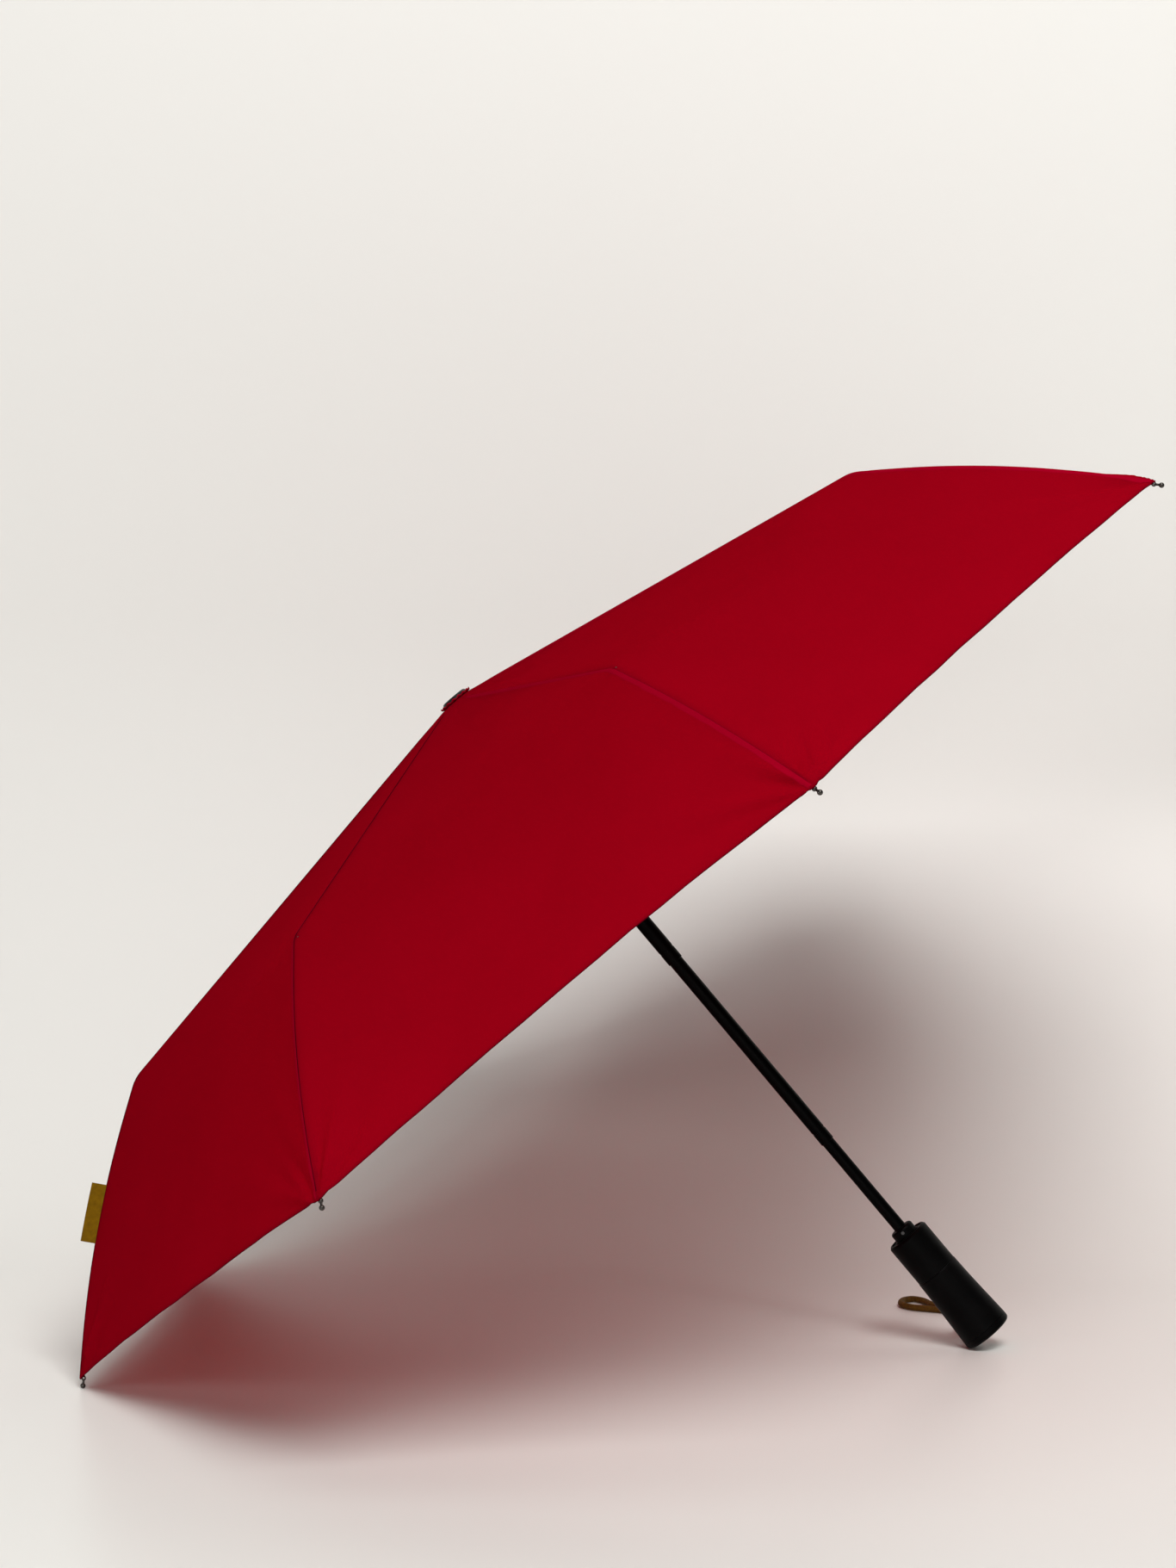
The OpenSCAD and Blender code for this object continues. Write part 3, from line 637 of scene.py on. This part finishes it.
    # small patch of cloth round the elbow, under the canopy
    arc = np.radians(np.linspace(62, -92, 10))
    ts = np.array([-3.8, -2.5, -1.2, 0, 1.2, 2.5, 3.8])
    pp, pn = [], []
    for tt in ts:
        rr = 1.85 - 0.31 * abs(tt)
        d2 = np.cos(arc)[:, None] * g1 + np.sin(arc)[:, None] * n1
        q2 = E_P + rr * d2
        pp.append(world(rib_pt(i, q2[:, 0], tt, q2[:, 1])))
        pn.append(rib_dir(i, d2[:, 0], 0.0, d2[:, 1]))
    patch = mesh_from_grid(f"canopy_elbow_{i}", np.array(pp), np.array(pn), M_CLOTH)
    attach(patch, f"middle_rib_{i}")
    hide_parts("canopy")
    declare_sheet(patch, 0.0101, 0.0101)

# ---------------------------------------------------------------- rosette
def ring_mesh(name, rings, material):
    """A mesh from closed rings of points, one strip after another."""
    n = len(rings[0])
    pts = np.concatenate(rings)
    faces = []
    for r in range(len(rings) - 1):
        for k in range(n):
            a, b = r * n + k, r * n + (k + 1) % n
            faces.append((a, a + n, b + n, b))
    me = bpy.data.meshes.new(name)
    me.from_pydata([tuple(x) for x in world(pts)], [], faces)
    me.materials.append(material)
    me.polygons.foreach_set("use_smooth", [True] * len(me.polygons))
    me.update()
    o = bpy.data.objects.new(name, me)
    scene.collection.objects.link(o)
    return o


th = np.radians(np.arange(0, 360, 360 / 160))
lobe = np.abs(np.cos(8 * th)) ** 0.6
rings = []
for f, z in [(0.26, -2.85), (0.5, -2.86), (0.75, -2.9), (0.83, -2.75), (0.92, -2.2), (1.0, -1.85), (1.01, -2.3), (0.99, -2.9), (0.9, -3.2), (0.6, -3.3)]:
    r = 12.6 * f * (1 - 0.10 * (1 - lobe) * np.clip((f - 0.6) / 0.4, 0, 1))
    zz = z + 0.45 * np.cos(16 * th + 0.6 * np.sin(3 * th)) * np.clip((f - 0.78) / 0.22, 0, 1)
    rings.append(np.stack([r * np.cos(th), r * np.sin(th), zz], -1))
# the rosette takes the lighter seam cloth, so it carries the same painted highlight
rosette = ring_mesh("rosette_cloth", rings, M_SEAM_HIGHLIGHT)
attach(rosette, "top_tube")
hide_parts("rosette")
declare_sheet(rosette, 0.0252, 0.0252)

# -------------------------------------------------------------- label tape
lx = np.linspace(72, 111, 14)
lz = np.array([0.0, 0.6, 2.0, 4.0, 6.0, 8.0, 9.4, 9.95])
face = []
for sgn in (1, -1):
    face.append([[None] * len(lx) for _ in lz])
    for a, hgt in enumerate(lz):
        for c, x in enumerate(lx):
            lean = 0.5 * (hgt / 10) ** 2 * math.sin((x - 60) / 16.0) + 0.25 * (hgt / 10) * math.sin(x / 7.0)
            thick = 0.2 * (1 - 0.75 * max(0.0, (hgt - 8.6) / 1.35)) + (0.05 if hgt in (0.6, 9.4) else 0)
            base = E_P + x * np.array([math.cos(math.atan2(*(TIP - E_P)[::-1])), math.sin(math.atan2(*(TIP - E_P)[::-1]))])
            base = base + (float(bow(x)) + CLOTH_OFF - 0.1 + hgt) * np.array([-(TIP - E_P)[1], (TIP - E_P)[0]]) / outer_len
            face[-1][a][c] = rib_pt(1, base[0], lean + sgn * thick, base[1])
lp = [face[0][a] for a in range(len(lz))] + [face[1][a] for a in range(len(lz) - 1, -1, -1)]
lp = np.array(lp)
lv = world(lp.reshape(-1, 3))
nl = len(lx)
lf = []
for r in range(len(lp)):
    for c in range(nl - 1):
        a, b = r * nl + c, ((r + 1) % len(lp)) * nl + c
        lf.append((a, a + 1, b + 1, b))
for c in (0, nl - 1):
    for r in range(len(lz) - 1):
        a, b, d, e = r * nl + c, (r + 1) * nl + c, (len(lp) - 2 - r) * nl + c, (len(lp) - 1 - r) * nl + c
        lf.append((a, b, d, e) if c == 0 else (e, d, b, a))
label_me = bpy.data.meshes.new("label_tape")
label_me.from_pydata([tuple(x) for x in lv], [], lf)
label_me.materials.append(M_LABEL)
label_me.update()
label = bpy.data.objects.new("label_tape", label_me)
scene.collection.objects.link(label)
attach(label, "outer_rib_1")
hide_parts("label_tag")

# ------------------------------------------------------------- main spring
def coil(name, z0, z1, turns, body):
    n = int(turns * 14)
    k = np.linspace(0, 1, n + 1)
    a = 2 * np.pi * turns * k
    c = np.stack([2.95 * np.cos(a), 2.95 * np.sin(a), z0 + (z1 - z0) * k], -1)
    rings = []
    for j in range(n + 1):
        rad = np.array([math.cos(a[j]), math.sin(a[j]), 0])
        rings.append(np.array([c[j] + 0.4 * (math.cos(b) * rad + math.sin(b) * np.array([0, 0, 1.0])) for b in np.arange(5) * 2 * np.pi / 5]))
    o = ring_mesh(name, rings, M_STEEL)
    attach(o, body)
    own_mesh(o)
    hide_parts("main_spring")
    return o


coil("main_spring_low", -552.6, -390, 13, "handle_body")
coil("main_spring_high", -390, -18.4, 31, "middle_tube")

# ------------------------------------------------------------ floor, light
# The paper sweep curves up behind the umbrella. A card of the same shape, just
# under it, carries the reflected light; the sweep itself is one-sided and fades
# into the even background, so that it hides nothing from behind.
card_me = bpy.data.meshes.new("bounce_card")
prof = [(-9.0, 0.0), (-3.0, 0.0), (0.2, 0.0)]
for k in range(1, 25):
    a = math.radians(90 * k / 24)
    prof.append((0.2 + 0.47 * math.sin(a), 0.47 * (1 - math.cos(a))))
prof.append((0.67, 9.0))
fv, ff = [], []
for k, (y, z) in enumerate(prof):
    fv += [(-9, y, z), (9, y, z)]
    if k:
        ff.append((2 * k - 2, 2 * k - 1, 2 * k + 1, 2 * k))
card_me.from_pydata([(x, y + 0.001, z - 0.001) for x, y, z in fv], [], ff)
card_me.polygons.foreach_set("use_smooth", [True] * len(card_me.polygons))


def paper(name, middle, near, far):
    """Pale one-sided paper that fades out between near and far from its middle."""
    m = principled(name, (0.79, 0.79, 0.765), 0.3, spec=0.12)
    n = m.node_tree.nodes
    ln = m.node_tree.links
    out = next(k for k in n if k.type == "OUTPUT_MATERIAL")
    bsdf = next(k for k in n if k.type == "BSDF_PRINCIPLED")
    pos, off, dist = n.new("ShaderNodeTexCoord"), n.new("ShaderNodeVectorMath"), n.new("ShaderNodeVectorMath")
    off.operation, dist.operation = "SUBTRACT", "LENGTH"
    off.inputs[1].default_value = middle
    fade, side, most = n.new("ShaderNodeMapRange"), n.new("ShaderNodeNewGeometry"), n.new("ShaderNodeMath")
    fade.interpolation_type = "SMOOTHSTEP"
    fade.inputs["From Min"].default_value = near
    fade.inputs["From Max"].default_value = far
    most.operation = "MAXIMUM"
    clear, mix = n.new("ShaderNodeBsdfTransparent"), n.new("ShaderNodeMixShader")
    ln.new(pos.outputs["Object"], off.inputs[0])
    ln.new(off.outputs["Vector"], dist.inputs[0])
    ln.new(dist.outputs["Value"], fade.inputs["Value"])
    ln.new(fade.outputs["Result"], most.inputs[0])
    ln.new(side.outputs["Backfacing"], most.inputs[1])
    ln.new(most.outputs[0], mix.inputs[0])
    ln.new(bsdf.outputs[0], mix.inputs[1])
    ln.new(clear.outputs[0], mix.inputs[2])
    ln.new(mix.outputs[0], out.inputs["Surface"])
    return m


card_me.materials.append(paper("card_paper", (0.0, 0.0, 0.0), 40.0, 41.0))
card = bpy.data.objects.new("bounce_card", card_me)
scene.collection.objects.link(card)
card.visible_camera = card.visible_shadow = False



def seen_floor(name, verts, faces, mat):
    me = bpy.data.meshes.new(name)
    me.from_pydata(verts, [], faces)
    me.polygons.foreach_set("use_smooth", [True] * len(me.polygons))
    me.materials.append(mat)
    o = bpy.data.objects.new(name, me)
    scene.collection.objects.link(o)
    o.visible_diffuse = o.visible_glossy = o.visible_transmission = o.visible_shadow = False


seen_floor("floor", fv, ff, paper("floor_paper", (0.0, 0.0, 0.5), 1.5, 3.4))
seen_floor("floor_behind", [(-4, 0.2, -0.002), (4, 0.2, -0.002), (4, 4, -0.002), (-4, 4, -0.002)], [(0, 1, 2, 3)],
           paper("floor_paper_behind", (0.0, 0.0, 0.0), 0.35, 1.1))


def area_light(name, loc, target, size, power, color=(1, 1, 1), size_y=None):
    d = bpy.data.lights.new(name, "AREA")
    d.shape = "RECTANGLE"
    d.size = size
    d.size_y = size_y or size
    d.energy = power
    d.color = color
    o = bpy.data.objects.new(name, d)
    scene.collection.objects.link(o)
    o.location = loc
    o.rotation_euler = (Vector(target) - Vector(loc)).to_track_quat("-Z", "Y").to_euler()
    o.visible_camera = False
    return o


area_light("key", (0.67, -2.29, 3.06), (0.0, 0.5, 0.6), 1.5, 113, (1.0, 0.985, 0.965))
area_light("backdrop", (0.0, -0.6, 2.6), (0.0, 0.35, 2.2), 1.2, 11.5, (1.0, 0.985, 0.97))
area_light("side", (-2.6, -2.0, 0.75), (0.0, 0.0, 0.35), 1.0, 20, (1.0, 0.985, 0.97))
area_light("front", (0.3, -3.3, 0.9), (0.0, 0.0, 0.35), 1.4, 12, (1.0, 0.985, 0.97))

wd = bpy.data.worlds.new("studio")
wd.use_nodes = True
wn = wd.node_tree
w_path = wn.nodes.new("ShaderNodeLightPath")
w_seen = wn.nodes.new("ShaderNodeMath")
w_seen.operation = "MULTIPLY_ADD"
w_seen.inputs[1].default_value = 0.817
w_seen.inputs[2].default_value = 0.003
wn.nodes["Background"].inputs["Color"].default_value = (1.0, 0.985, 0.96, 1)
wn.links.new(w_path.outputs["Is Camera Ray"], w_seen.inputs[0])
wn.links.new(w_seen.outputs[0], wn.nodes["Background"].inputs["Strength"])
scene.world = wd
